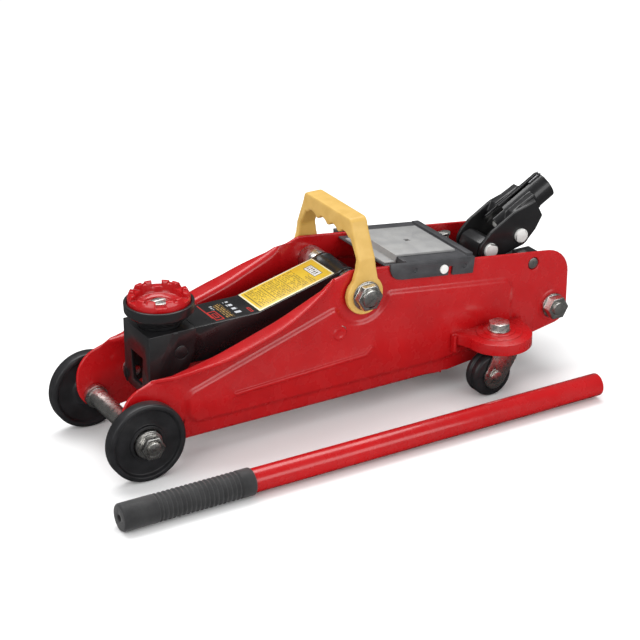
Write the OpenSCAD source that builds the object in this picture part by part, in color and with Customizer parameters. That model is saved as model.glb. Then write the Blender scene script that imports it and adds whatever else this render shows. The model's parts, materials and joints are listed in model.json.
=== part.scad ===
// Hydraulic trolley jack with a separate pump handle.
// Jack axes while modelling: X runs from the front axle to the rear, Y is across,
// Z is up from the floor.  The whole set is then moved so that the middle of its
// bounding box is the origin.

/* [Frame] */
// Outside width over the two side plates, mm
frame_width = 90; // [84:1:96]
// Side plate sheet thickness, mm
plate_t = 3; // [2.5:0.5:3.5]
// How far the lower panel of a side plate is pressed outwards, mm
emboss = 2.5; // [1.5:0.5:3]

/* [Wheels] */
// Front wheel diameter, mm
wheel_d = 68; // [64:1:70]
// Front wheel width, mm
wheel_w = 11.5; // [10:0.5:13]
// Clear gap between a side plate and its front wheel, mm
wheel_gap = 5.2; // [4.5:0.1:8]
// Caster wheel diameter, mm
caster_d = 39; // [36:1:39]
// Caster wheel width, mm
caster_w = 16; // [13:1:16]

/* [Lifting arm] */
// Width over the lifting arm, mm
arm_w = 41; // [38:1:41]
// Angle the arm has been pumped up by, degrees
lift_angle = 0; // [0:1:65]
// Saddle cup diameter, mm
saddle_d = 52; // [46:1:56]

/* [Handle] */
// Length of the loose pump handle, mm
handle_len = 460; // [400:10:520]
// Diameter of the pump handle tube, mm
handle_d = 20; // [18:0.5:20]
// Tilt of the handle socket above level, degrees
socket_tilt = 30; // [26:1:34]

/* [Hidden] */
$fn = 64;
half = frame_width / 2;          // outer face of a plate
inn = half - plate_t;            // inner face of a plate
pad = half + emboss;             // outer face of the pressed panel
wr = wheel_d / 2;
wi = half + wheel_gap;           // inner face of a front wheel
wo = wi + wheel_w;               // outer face of a front wheel
ax_z = wr;                       // front axle height
run = 0.06;                      // radial running clearance
pvx = 209;                       // lift pivot
pvz = 114;
bx = 50;                         // arm to bracket pin
bz = 88;
lx = -21;                        // offset of the link rods from the arm line
lz = -30;
ca = 32.5;                       // crank angle either side of straight down
cr = 45;                         // crank radius
ex = pvx + cr * sin(ca);         // crank pin at rest
ez = pvz - cr * cos(ca);
ram_z = 72.5;
tie_x = 408.6;
tie_z = 57.9;
sbx = 387;                       // side bolt of the pump block
sbz = 102;
cx = 337;                        // caster swivel axis
cy = pad + 18.5;
cwx = 327;                       // caster wheel axis
cwr = caster_d / 2;
sx = 42.8;                       // saddle axis
px = 358;                        // handle socket pivot
pz = 111.5;
rx = 390;                        // pump roller
rz = 119.6;
mx = 428;                        // socket mouth centre
mz = 155;
pump_x = 385;
vx = 340;                        // release valve
vy = 25.3;
tray_x = 236;
tray_tilt = 7.02;
tray_z = 134.2;
grip_d = handle_d + 3;
hx = -55;                        // free end of the grip
hy = -120.5;
sock_r = handle_d / 2 + 3;
// extents of the whole set
x_min = hx;
x_max = max(mx + sock_r * sin(socket_tilt), hx + handle_len);
y_min = hy - grip_d / 2;
y_max = cy + 29;
ox = (x_min + x_max) / 2;
oy = (y_min + y_max) / 2;

// ---------- helpers ----------
// an outline drawn in X and Z, given thickness from y0 to y1
module slab(y0, y1) {
  translate([0, y1, 0]) rotate([90, 0, 0]) linear_extrude(height = y1 - y0) children();
}
// an outline drawn in Y and Z, given thickness from x0 to x1
module wall(x0, x1) {
  translate([x0, 0, 0]) rotate([90, 0, 90]) linear_extrude(height = x1 - x0) children();
}
module ycyl(x, z, r, y0, y1) {
  translate([x, y1, z]) rotate([90, 0, 0]) cylinder(r = r, h = y1 - y0);
}
module xcyl(x0, x1, y, z, r) {
  translate([x0, y, z]) rotate([0, 90, 0]) cylinder(r = r, h = x1 - x0);
}
module zcyl(x, y, z0, z1, r) {
  translate([x, y, z0]) cylinder(r = r, h = z1 - z0);
}
// a hexagon across the flats, lying across Y
module yhex(x, z, af, y0, y1) {
  translate([x, y1, z]) rotate([90, 0, 0]) cylinder(r = af / sqrt(3), h = y1 - y0, $fn = 6);
}
// a bar with round ends, its straight part a hair narrower than the ends
module bar(a, b, r) {
  flat = r - 0.02;
  translate(a) circle(r);
  translate(b) circle(r);
  translate(a) rotate(atan2(b[1] - a[1], b[0] - a[0]))
    translate([0, -flat]) square([norm(b - a), 2 * flat]);
}
module both() {
  children();
  mirror([0, 1, 0]) children();
}
// moves the whole set to its origin
module put() {
  translate([-ox, -oy, 0]) children();
}
// the lift: everything on the arm turns about the pivot shaft
module on_arm() {
  translate([pvx, 0, pvz]) rotate([0, lift_angle, 0]) translate([-pvx, 0, -pvz]) children();
}
a0 = atan2(pvz - bz, pvx - bx);
al = norm([pvx - bx, pvz - bz]);
rise = [al * (cos(a0) - cos(lift_angle - a0)), 0, al * (sin(lift_angle - a0) + sin(a0))];
// the bracket stays level while it rises
module on_bracket() {
  translate(rise) children();
}
module on_rods() {
  translate([pvx + lx, 0, pvz + lz]) rotate([0, lift_angle, 0])
    translate([-pvx - lx, 0, -pvz - lz]) children();
}
push = 2 * cr * sin(ca) * lift_angle / 65;
module on_ram() {
  translate([-push, 0, 0]) children();
}

// ---------- side plates ----------
module plate_outline() {
  translate([12, 46]) circle(27);
  polygon([[12, 73], [73, 90], [130, 108], [172, 125.5], [184, 131], [192, 134.2], [199, 135.5],
    [206, 135.2], [229.6, 132.3], [325.6, 121.2], [401.8, 111.1], [410, 109], [417, 104.5],
    [422, 98], [424.7, 90], [425.4, 80], [425.4, 54], [424, 48], [420, 42.5], [413, 39.2],
    [384, 34], [330, 24], [291, 19.5], [150, 20.5], [45, 20.5], [12, 19]]);
}
module panel_outline() {
  difference() {
    polygon([[44, 64.5], [186, 109], [232, 112], [354, 97], [362, 93], [366, 86], [366, 50],
      [360, 41], [330, 34], [286, 29.5], [70, 30.5], [50, 33], [42, 40], [40, 52]]);
    translate([pvx, pvz]) circle(24);
  }
}
module panel_hollow() {
  difference() {
    polygon([[46, 62.5], [187, 106.5], [231, 109.5], [353, 94.6], [360, 91], [363.5, 85],
      [363.5, 51], [358.6, 43], [330, 36.5], [286, 32], [70, 33], [51, 35], [44.5, 41], [42.5, 52]]);
    translate([pvx, pvz]) circle(26.5);
  }
}
module top_flange() {
  intersection() {
    slab(-half - 18, -inn) polygon([[12, 73], [73, 90], [130, 108], [172, 125.5], [184, 131],
      [184, 127.6], [172, 122.1], [130, 104.6], [73, 86.8], [12, 69.8]]);
    translate([0, 0, 50]) linear_extrude(height = 100) polygon([[14, -inn], [14, -half - 0.5],
      [34, -half - 6], [60, -half - 12], [90, -half - 15.6], [115, -half - 16], [140, -half - 13.5],
      [162, -half - 8], [184, -half - 0.5], [184, -inn]]);
  }
}
module side_plate() {
  difference() {
    union() {
      slab(-half, -inn) plate_outline();
      slab(-pad, -half + 0.01) panel_outline();
      top_flange();
      // bottom edge turned inwards
      slab(-inn - 0.5, -inn + 10) polygon([[36, 20.5], [285, 19.6], [285, 22.6], [36, 23.5]]);
      // long stiffening bead, hooked up at its rear end
      slab(-pad - 1.6, -pad + 0.01) {
        bar([88, 51], [212, 56.5], 2.6);
        bar([212, 56.5], [219, 63], 2.6);
      }
      // raised lands under the rear nut and round the link stud
      ycyl(tie_x, tie_z, 12.5, -half - 1, -half + 0.01);
      ycyl(pvx + lx, pvz + lz, 7.5, -pad - 0.8, -pad + 0.01);
    }
    slab(-half + 0.5, -inn + 0.01) panel_hollow();
    ycyl(0, ax_z, 6.02, -pad - 5, 0);
    ycyl(pvx, pvz, 8.02, -pad - 5, 0);
    ycyl(pvx + lx, pvz + lz, 5.02, -pad - 5, 0);
    ycyl(tie_x, tie_z, 6.02, -pad - 5, 0);
    ycyl(sbx, sbz, 5.6, -pad - 5, 0);
    translate([tray_x, 0, tray_z]) rotate([0, tray_tilt, 0])
      ycyl(55, -8.5, 2.05, -pad - 5, 0);
  }
}
module left_side_plate() {
  put() color("red") side_plate();
}
module right_side_plate() {
  put() color("red") mirror([0, 1, 0]) side_plate();
}

// ---------- front axle and wheels ----------
module front_axle() {
  put() color("silver") union() {
    ycyl(0, ax_z, 8, -inn, inn);
    both() ycyl(0, ax_z, 10, -inn, -inn + 6);
    ycyl(0, ax_z, 6, -wo - 11.5, wo + 11.5);
  }
}
module ring_y(x, z, ro, ri, y0, y1) {
  difference() {
    ycyl(x, z, ro, y0, y1);
    ycyl(x, z, ri, y0 - 1, y1 + 1);
  }
}
module axle_spacers() {
  put() color("silver") both() ring_y(0, ax_z, 9, 6.02, -wi + 0.1, -half);
}
module axle_washers() {
  put() color("silver") both() union() {
    ring_y(0, ax_z, 12, 6.02, -wo - 1.4, -wo + 2.9);
    ring_y(0, ax_z, 9.5, 6.02, -wo - 3, -wo - 1.4);
  }
}
module axle_nuts() {
  put() color("silver") both() difference() {
    yhex(0, ax_z, 18, -wo - 10, -wo - 3);
    ycyl(0, ax_z, 6.02, -wo - 20, 0);
  }
}
module front_wheel() {
  translate([0, -wi, ax_z]) rotate([90, 0, 0]) rotate_extrude() polygon([
    [6 + run, 1], [6 + run, wheel_w - 3], [12.5, wheel_w - 3], [12.5, wheel_w - 1], [15.5, wheel_w - 1],
    [15.5, wheel_w - 3.5], [wr - 5.5, wheel_w - 3.5], [wr - 4.5, wheel_w], [wr - 1.2, wheel_w],
    [wr, wheel_w - 1.2], [wr, 1.2], [wr - 1.2, 0], [wr - 4.5, 0], [wr - 5.5, 3], [15, 3], [14, 1]]);
}
module left_front_wheel() {
  put() color("black") front_wheel();
}
module right_front_wheel() {
  put() color("black") mirror([0, 1, 0]) front_wheel();
}

// ---------- lift pivot ----------
module lift_pivot_shaft() {
  put() color("silver") union() {
    ycyl(pvx, pvz, 8, -half - 17.5, half + 17.5);
  }
}
module pivot_nuts() {
  put() color("silver") both() difference() {
    union() {
      yhex(pvx, pvz, 21, -half - 15.5, -half - 8.8);
      ycyl(pvx, pvz, 13, -half - 8.8, -half - 7.4);
    }
    ycyl(pvx, pvz, 8.02, -half - 30, 0);
  }
}
module pivot_spacers() {
  put() color("silver") both() ring_y(pvx, pvz, 12, 8.02, -inn, -arm_w / 2 - 0.3);
}

// ---------- carrying handle ----------
hi = half + 1.3;                 // inner face of the handle boss
ho = half + 7.3;                 // outer face
module carry_handle() {
  put() color("gold") difference() {
    union() {
      both() {
        ycyl(pvx, pvz, 17.5, -ho, -hi);
        slab(-ho, -hi) polygon([[pvx - 13, pvz + 8], [pvx - 8, pvz + 24], [pvx - 7, pvz + 33],
          [pvx + 9, pvz + 33], [pvx + 10, pvz + 24], [pvx + 13, pvz + 8]]);
        wall(pvx - 7, pvx + 9) polygon([[-ho, pvz + 32], [-hi, pvz + 32], [-half + 10, 164],
          [-half + 12, 178.5], [-half + 9, 178.5], [-half + 6, 176], [-half + 4, 170]]);
      }
      wall(pvx - 7, pvx + 9) difference() {
        polygon([[-half + 9.5, 178.5], [-half + 10, 160.5], [half - 10, 160.5], [half - 9.5, 178.5]]);
        for (i = [-1.5 : 1 : 1.5]) translate([i * 17.5, 155.5]) circle(9);
      }
    }
    ycyl(pvx, pvz, 8 + run, -half - 20, half + 20);
    // long groove along each leg
    both() wall(pvx - 3, pvx + 5) polygon([[-hi - 1.2 + 2, pvz + 40], [-half + 6.8, 165],
      [-half + 9, 165], [-hi + 2, pvz + 38]]);
  }
}

// ---------- cover ----------
module on_tray() {
  translate([tray_x, 0, tray_z]) rotate([0, tray_tilt, 0]) children();
}
module cover_tray() {
  put() color("dimgray") on_tray() difference() {
    union() {
      translate([18.2, -pad, -2]) cube([68.8, 2 * pad, 2]);
      // strip folded up along the rear edge
      translate([80, -pad + 4, -0.01]) cube([7, 2 * pad - 8, 2.4]);
      both() slab(-pad, -half) polygon([[0, 0], [1, -6], [4, -11.5], [8, -14], [14, -15], [87, -15],
        [87, 0]]);
      // front apron
      translate([3, -inn + 0.2, -7]) cube([15, 2 * inn - 0.4, 1.6]);
      translate([16.4, -inn + 0.2, -7]) cube([2, 2 * inn - 0.4, 7]);
    }
    both() {
      translate([61, -pad - 1, -16]) cube([4, emboss + 2, 9]);
      ycyl(55, -8.5, 2.05, -pad - 1, 0);
      ycyl(26, -7.5, 2.2, -pad - 1, -pad + 1.2);
      ycyl(77, -7.5, 2.2, -pad - 1, -pad + 1.2);
    }
    // filler access
    translate([46, 0, -3]) cylinder(r = 9, h = 8);
  }
}
module cover_panel() {
  put() color("lightgray") on_tray() difference() {
    union() {
      translate([14.2, -32, 0]) cube([61.8, 64, 2.2]);
      translate([14.2, -32, -5.4]) cube([2, 64, 7]);
      translate([4, -32, -5.4]) cube([12, 64, 1.6]);
    }
    translate([44, -2.4, -1]) cube([5, 4.8, 5]);
  }
}
module cover_screws() {
  put() color("white") on_tray() both() union() {
    ycyl(55, -8.5, 4, -pad - 2, -pad);
    ycyl(55, -8.5, 2, -pad - 1, -inn + 3);
  }
}

// ---------- casters ----------
ear_z = 56;
module ear_outline(r) {
  translate([cx, -cy]) circle(r);
  polygon([[cx - r, -cy], [cx - r, -cy + 3], [cx - r - 7, -pad], [cx + r + 7, -pad],
    [cx + r, -cy + 3], [cx + r, -cy]]);
}
module caster_ear() {
  difference() {
    union() {
      translate([0, 0, ear_z - 3]) linear_extrude(height = 3) ear_outline(29);
      // turned-down lip
      translate([0, 0, ear_z - 10]) linear_extrude(height = 8) difference() {
        ear_outline(29);
        ear_outline(26.2);
      }
      zcyl(cx, -cy, ear_z - 1, ear_z + 1.2, 20);
      zcyl(cx, -cy, ear_z - 1, ear_z + 2.4, 14);
      // tab welded to the plate at the front
      translate([cx - 38, -pad - 2.4, 38]) cube([4, 2.4, ear_z - 38]);
      translate([cx - 38, -pad - 6, 40]) cube([2.5, 6, ear_z - 41]);
    }
    // nothing reaches past the side plate
    translate([cx - 60, -pad, 0]) cube([120, 60, 100]);
    translate([0, 0, ear_z - 12]) linear_extrude(height = 9) difference() {
      ear_outline(26.2);
      translate([cx - 60, -pad - 0.6]) square([120, 10]);
    }
    zcyl(cx, -cy, 30, 70, 5.02);
  }
}
module left_caster_ear() {
  put() color("red") caster_ear();
}
module right_caster_ear() {
  put() color("red") mirror([0, 1, 0]) caster_ear();
}
module caster_bolt() {
  union() {
    translate([cx, -cy, ear_z + 3.6]) cylinder(r = 17 / sqrt(3), h = 6, $fn = 6);
    zcyl(cx, -cy, ear_z + 2.4, ear_z + 3.6, 10);
    zcyl(cx, -cy, 40.3, ear_z + 3.6, 5);
    zcyl(cx, -cy, 40.3, 41.6, 8);
  }
}
module caster_bolts() {
  put() color("silver") both() caster_bolt();
}
module caster_race() {
  difference() {
    union() {
      zcyl(cx, -cy, 49, 53, 15);
      zcyl(cx, -cy, 45.2, 49, 12);
    }
    zcyl(cx, -cy, 40, 60, 5.02);
  }
}
module left_caster_race() {
  put() color("silver") caster_race();
}
module right_caster_race() {
  put() color("silver") mirror([0, 1, 0]) caster_race();
}
yoke_in = caster_w / 2 + 1;
module caster_yoke() {
  difference() {
    union() {
      translate([cx - 13, -cy - yoke_in - 2.4, 42.3]) cube([26, 2 * yoke_in + 4.8, 2.6]);
      for (s = [0, 1]) translate([0, s * (2 * yoke_in + 2.4), 0])
        slab(-cy - yoke_in - 2.4, -cy - yoke_in) {
          translate([cwx, cwr]) circle(11);
          polygon([[cwx - 10.9, cwr + 1], [cwx - 8, cwr + 8], [cx - 13, 38], [cx - 13, 44.9],
            [cx + 13, 44.9], [cx + 12, 34], [cwx + 9, cwr - 6]]);
        }
    }
    zcyl(cx, -cy, 30, 60, 5 + run);
    ycyl(cwx, cwr, 3.02, -cy - 20, -cy + 20);
  }
}
module left_caster_yoke() {
  put() color("silver") caster_yoke();
}
module right_caster_yoke() {
  put() color("silver") mirror([0, 1, 0]) caster_yoke();
}
module caster_wheel() {
  h = caster_w / 2;
  translate([cwx, -cy, cwr]) rotate([90, 0, 0]) rotate_extrude() polygon([
    [3 + run, -h], [3 + run, h], [cwr - 2, h], [cwr, h - 2], [cwr, 2.2], [cwr - 1.6, 1.2],
    [cwr - 1.6, -1.2], [cwr, -2.2], [cwr, -h + 2], [cwr - 2, -h]]);
}
module left_caster_wheel() {
  put() color("black") caster_wheel();
}
module right_caster_wheel() {
  put() color("black") mirror([0, 1, 0]) caster_wheel();
}
module caster_axle() {
  union() {
    ycyl(cwx, cwr, 3, -cy - yoke_in - 3.4, -cy + yoke_in + 3.4);
    ycyl(cwx, cwr, 5.6, -cy - yoke_in - 4.6, -cy - yoke_in - 2.4);
    ycyl(cwx, cwr, 5.6, -cy + yoke_in + 2.4, -cy + yoke_in + 3.8);
  }
}
module left_caster_axle() {
  put() color("silver") caster_axle();
}
module right_caster_axle() {
  put() color("silver") mirror([0, 1, 0]) caster_axle();
}

// ---------- rear fixings ----------
module rear_tie_rod() {
  put() color("silver") ycyl(tie_x, tie_z, 6, -half - 12.5, half + 12.5);
}
module rear_nuts() {
  put() color("silver") both() difference() {
    union() {
      yhex(tie_x, tie_z, 19, -half - 11, -half - 3);
      ycyl(tie_x, tie_z, 11.5, -half - 3, -half - 1);
    }
    ycyl(tie_x, tie_z, 6.02, -half - 30, 0);
  }
}
module side_bolts() {
  put() color("silver") both() union() {
    ycyl(sbx, sbz, 5, -half + 0.6, -inn);
    ycyl(sbx, sbz, 3, -inn, -inn + 14);
  }
}

// ---------- lifting arm ----------
aw = arm_w / 2;
module arm_side() {
  difference() {
    union() {
      polygon([[bx, bz + 14], [64.6, 102.2], [65.6, 105.2], [124, 105], [200, 124.4], [206, 126.2], [pvx, 127],
        [pvx + 10, 122.4], [pvx + 13, pvz], [ex + 8, ez + 7], [ex + 11, ez], [ex - 9, ez - 6.5],
        [200, 82], [170, 84], [120, 78], [80, 74], [bx + 4, bz - 13.4]]);
      translate([bx, bz]) circle(14);
      translate([pvx, pvz]) circle(13);
      translate([ex, ez]) circle(11);
    }
    translate([bx, bz]) circle(6 + run);
    translate([pvx, pvz]) circle(8 + run);
    translate([ex, ez]) circle(6.02);
  }
}
module lift_arm() {
  put() color("black") on_arm() union() {
    both() slab(-aw, -aw + 4) arm_side();
    // top plate folded over the two sides
    slab(-aw + 3.9, aw - 3.9) polygon([[66, 105.2], [124, 105], [200, 124.4], [200, 120.3], [124.4, 101],
      [66, 101.2]]);
    // tubes across the two pivots
    ring_y(pvx, pvz, 12.5, 8 + run, -aw + 3.9, aw - 3.9);
    ring_y(bx, bz, 10, 6 + run, -aw + 3.9, aw - 3.9);
  }
}
module arm_label() {
  put() color("yellow") on_arm() slab(-19, 19) polygon([[126, 105.52], [198, 123.9], [198, 124.3],
    [126, 105.92]]);
}
module crank_pin() {
  put() color("silver") on_arm() ycyl(ex, ez, 6, -aw, aw);
}

// ---------- levelling bracket ----------
bw = aw + 0.5;                   // inner face of a cheek
bo = bw + 3;                     // outer face of a cheek
module saddle_bracket() {
  put() color("black") on_bracket() difference() {
    union() {
      both() slab(-bo, -bw) {
        polygon([[21, 107], [64, 107], [64, 99], [60, 80], [48, 56], [38, 50], [29, 48], [21, 50]]);
        translate([29, 58]) circle(10);
        translate([bx, bz]) circle(12);
      }
      translate([21, -bo, 103]) cube([43, 2 * bo, 4]);
      wall(21, 24) polygon([[-bo, 107], [bo, 107], [bo, 60], [bo - 6, 50], [-bo + 6, 50], [-bo, 60]]);
    }
    // window in the front wall
    wall(18, 24.01) polygon([[-11, 84], [11, 84], [8, 58], [-8, 58]]);
    ycyl(bx, bz, 6.02, -bo - 1, bo + 1);
    ycyl(29, 58, 5.02, -bo - 1, bo + 1);
    zcyl(sx, 0, 90, 110, 5.02);
    // small relief on the edge of the top
    both() translate([43, -bo - 1, 105.5]) cube([5, 1.6, 2]);
  }
}
module bracket_pin() {
  put() color("silver") on_bracket() ycyl(bx, bz, 6, -bo - 0.3, bo + 0.3);
}
module bracket_studs() {
  put() color("silver") on_bracket() both() union() {
    ycyl(29, 58, 5, -bo - 5.6, -bw);
    ycyl(29, 58, 7.5, -bo - 7, -bo - 4.9);
  }
}
module link_rods() {
  put() color("dimgray") on_rods() both() slab(-bo - 4.6, -bo - 0.6) difference() {
    bar([29, 58], [pvx + lx, pvz + lz], 7);
    translate([29, 58]) circle(5 + run);
    translate([pvx + lx, pvz + lz]) circle(5 + run);
  }
}
module link_studs() {
  put() color("silver") both() union() {
    ycyl(pvx + lx, pvz + lz, 5, -pad - 0.3, -bo + 0.4);
    ycyl(pvx + lx, pvz + lz, 7, -bo - 0.3, -bo + 1.3);
    ycyl(pvx + lx, pvz + lz, 7.5, -half + 0.5, -bo - 5);
  }
}

// ---------- saddle ----------
sr = saddle_d / 2;
module saddle_holder() {
  put() color("black") on_bracket() translate([sx, 0, 107]) difference() {
    rotate_extrude() polygon([[5.02, 0], [18, 0], [19, 3], [sr, 9], [sr + 3, 12], [sr + 3.3, 20],
      [sr + 0.6, 20], [sr + 0.6, 13], [5.02, 13]]);
    for (i = [0 : 3]) rotate(45 + 90 * i) translate([11.5, 0, 10]) cylinder(r = 1.6, h = 4);
  }
}
module saddle() {
  put() color("red") on_bracket() translate([sx, 0, 120.15]) difference() {
    rotate_extrude() polygon([[5 + run, 0], [sr, 0], [sr, 10.5], [sr - 2, 15], [sr - 5.5, 15],
      [sr - 7.5, 6], [13, 4.5], [12, 3], [5 + run, 3]]);
    // gaps between the lugs
    for (i = [0 : 5]) rotate(60 * i + 8) translate([sr - 9, -4.2, 10.6]) cube([20, 8.4, 10]);
    for (i = [0 : 5]) rotate(60 * i + 38) translate([sr - 9, -1.6, 13.2]) cube([20, 3.2, 10]);
  }
}
module saddle_screw() {
  put() color("silver") on_bracket() difference() {
    union() {
      zcyl(sx, 0, 101, 124, 5);
      zcyl(sx, 0, 123.3, 126.3, 7.5);
    }
    translate([sx - 9, -0.8, 125.2]) cube([18, 1.6, 3]);
  }
}

// ---------- hydraulic unit ----------
module ram_head() {
  put() color("silver") on_ram() difference() {
    union() {
      translate([ex - 12, -9, ram_z - 17]) cube([24, 18, 32]);
      xcyl(ex + 11.9, ex + 17, 0, ram_z, 9);
      // tongue and cross bar for the return springs
      translate([ex - 6, -9, 46]) cube([12, 18, 10]);
      ycyl(ex, 50.5, 3, -37.5, 37.5);
    }
    // upright slot for the crank pin
    slab(-20, 20) bar([ex, pvz - cr - 0.6], [ex, ez + 0.6], 6.8);
    xcyl(ex + 12.6, ex + 20, 0, ram_z, 7.02);
  }
}
module ram() {
  put() color("silver") on_ram() xcyl(ex + 12.6, ex + 92, 0, ram_z, 7);
}
module cylinder_tube() {
  difference() {
    xcyl(262, 345, 0, ram_z, 13);
    xcyl(261, 341, 0, ram_z, 7 + run);
  }
}
module ram_cylinder() {
  put() color("dimgray") cylinder_tube();
}
module reservoir() {
  put() color("black") difference() {
    xcyl(266, 345, 0, ram_z, 31);
    xcyl(270, 346, 0, ram_z, 28);
    xcyl(260, 272, 0, ram_z, 13.02);
    zcyl(tray_x + 46, 0, 90, 110, 4.02);
  }
}
module filler_plug() {
  put() color("black") union() {
    zcyl(tray_x + 46, 0, 98.5, 104.4, 4);
    zcyl(tray_x + 46, 0, 103.6, 107, 7);
  }
}
module pump_block() {
  put() color("black") difference() {
    union() {
      translate([345, -32, 38]) cube([56, 64, 56]);
      // cheek-wide lug for the socket pin
      slab(-14, 14) polygon([[347, 93], [368, 93], [368, 112], [366, 118], [358, 121.3], [350, 118],
        [347, 112]]);
      // ears bolted to the side plates
      both() translate([378, -inn, 84]) cube([18, inn - 24, 26]);
      // anchors of the return springs
      both() translate([345, -39, 45]) cube([6, 8, 11]);
      // foot round the tie rod
      translate([398, -inn, 50]) cube([20, 2 * inn, 16]);
      zcyl(pump_x, 0, 93, 97, 12);
      // ledge that carries the release valve over the reservoir
      translate([vx - 7, vy - 5.5, 100.5]) cube([16, 11.5, 5]);
      translate([345.2, vy - 5.5, 93]) cube([5, 11.5, 12.5]);
    }
    ycyl(px, pz, 6 + run, -30, 30);
    ycyl(tie_x, tie_z, 6.02, -60, 60);
    ycyl(sbx, sbz, 3.02, -inn - 1, -inn + 15);
    ycyl(sbx, sbz, 3.02, inn - 15, inn + 1);
    zcyl(pump_x, 0, 62, 120, 5 + run);
    zcyl(vx, vy, 98, 120, 3 + run);
    xcyl(340, 352, 0, ram_z, 4);
  }
}
module pump_piston() {
  put() color("silver") union() {
    zcyl(pump_x, 0, 68, 112.2, 5);
    zcyl(pump_x, 0, 109.2, 112.2, 11);
  }
}
// a close-wound coil drawn as a sleeve with one ridge to each turn, along +Z from the origin
module coil(len, turns, ro, wire) {
  p = len / turns;
  rotate_extrude() polygon(concat(
    [[ro - 2 * wire, 0]],
    [for (i = [0 : turns - 1], k = [0 : 1])
      [ro - (k == 0 ? 0.7 * wire : 0), (i + k / 2) * p]],
    [[ro - 0.7 * wire, len], [ro - 2 * wire, len]]));
}
module pump_spring() {
  put() color("silver") translate([pump_x, 0, 97.1]) coil(12, 5, 9, 1.3);
}
module release_valve() {
  put() color("silver") union() {
    zcyl(vx, vy, 101, 117, 3);
    zcyl(vx, vy, 105.7, 109, 5.5);
  }
}
module release_lever() {
  put() color("silver") difference() {
    translate([0, 0, 115]) linear_extrude(height = 2.5) bar([vx, vy], [vx - 11, vy], 4.5);
    zcyl(vx - 11, vy, 110, 125, 2);
    zcyl(vx, vy, 110, 117.2, 3.02);
  }
}
module return_springs() {
  put() color("silver") both() union() {
    translate([246, -35, 50.5]) rotate([0, 90, 0]) coil(88, 40, 4.6, 1);
    xcyl(ex + 3.02, 246.4, -35, 50.5, 0.9);
    xcyl(333.6, 344.98, -35, 50.5, 0.9);
    translate([246, -35, 50.5]) rotate([0, 90, 0]) cylinder(r = 4, h = 1);
    translate([333, -35, 50.5]) rotate([0, 90, 0]) cylinder(r = 4, h = 1);
  }
}

// ---------- handle socket ----------
socket_in = 16;
socket_out = 19;
module socket_axis() {
  translate([mx, 0, mz]) rotate([0, -socket_tilt, 0]) children();
}
module handle_socket() {
  put() color("black") difference() {
    union() {
      socket_axis() xcyl(-62, 0, 0, 0, sock_r);
      both() slab(-socket_out, -socket_in) {
        bar([px, pz], [rx, rz], 11);
        polygon([[px - 8, pz + 8], [px + 1, pz + 17], [mx - 46, mz - 13], [mx - 22, mz - 6], [rx + 24, rz + 14],
          [rx + 17, rz + 2], [rx + 9, rz - 6]]);
      }
      both() slab(-socket_in - 0.01, -9) polygon([[mx - 50, mz - 22], [mx - 46, mz - 13],
        [mx - 22, mz - 1], [mx - 14, mz - 14], [mx - 20, mz - 18], [mx - 44, mz - 27]]);
    }
    socket_axis() xcyl(-32, 1, 0, 0, handle_d / 2 + 0.6);
    socket_axis() xcyl(-70, -31.9, 0, 0, handle_d / 2 + 1);
    // the underside is cut away over the roller and the lug
    slab(-socket_in + 0.01, socket_in - 0.01) polygon([[mx - 64, mz - 50], [mx - 64, mz - 38], [mx - 26, mz - 15],
      [mx - 19, mz - 28], [mx - 24, mz - 50]]);
    // open seam along the top
    socket_axis() translate([-52, -2, 5]) cube([60, 4, 20]);
    // slotted opening at the lower end
    socket_axis() translate([-64, -5, 3]) cube([16, 10, 20]);
    ycyl(px, pz, 6 + run, -30, 30);
    ycyl(rx, rz, 5.02, -30, 30);
  }
}
module socket_latch() {
  put() color("dimgray") socket_axis() union() {
    translate([-14, -3.2, sock_r - 0.15]) cube([14, 1.2, 1.6]);
    translate([-3, -3.2, sock_r + 0.4]) cube([1.6, 1.2, 4]);
  }
}
module socket_pin() {
  put() color("white") union() {
    ycyl(px, pz, 6, -socket_out - 0.5, socket_out + 0.5);
    ycyl(px, pz, 6.6, -socket_out - 3, -socket_out - 0.4);
    ycyl(px, pz, 6.6, socket_out + 0.4, socket_out + 3);
  }
}
module roller_pin() {
  put() color("white") union() {
    ycyl(rx, rz, 5, -socket_out - 0.5, socket_out + 0.5);
    ycyl(rx, rz, 6.4, -socket_out - 3, -socket_out);
    ycyl(rx, rz, 6.4, socket_out, socket_out + 3);
  }
}
module pump_roller() {
  put() color("silver") ring_y(rx, rz, 7, 5 + run, -8, 8);
}

// ---------- loose pump handle ----------
module handle_tube() {
  put() color("red") difference() {
    xcyl(hx + 6, hx + handle_len, hy, grip_d / 2, handle_d / 2);
    xcyl(hx + 7.5, hx + handle_len + 1, hy, grip_d / 2, handle_d / 2 - 1.5);
    zcyl(hx + handle_len - 24, hy, -1, 6, 1.6);
  }
}
module handle_grip() {
  put() color("black") translate([hx, hy, grip_d / 2]) rotate([0, 90, 0]) difference() {
    rotate_extrude() polygon(concat(
      [[0, 0], [grip_d / 2 - 1.2, 0], [grip_d / 2, 1.2], [grip_d / 2, 30]],
      [for (i = [0 : 17], k = [0 : 3])
        [grip_d / 2 - (k % 3 == 0 ? 0.9 : 0), 31 + i * 4 + (k == 3 ? 2.8 : k)]],
      [[grip_d / 2 - 0.9, 103.2], [grip_d / 2, 103.6], [grip_d / 2, 115], [grip_d / 2 - 0.8, 116], [0, 116]]));
    translate([0, 0, 6]) cylinder(r = handle_d / 2 + 0.02, h = 130);
    translate([0, 0, -1]) cylinder(r = 3, h = 20);
  }
}
module handle_detent() {
  put() color("silver") translate([hx + handle_len - 24, hy, 0]) union() {
    translate([0, 0, 0.4]) cylinder(r = 1.3, h = 3.4);
    translate([-14, -1.5, 3.7]) cube([16, 3, 0.8]);
  }
}

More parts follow.
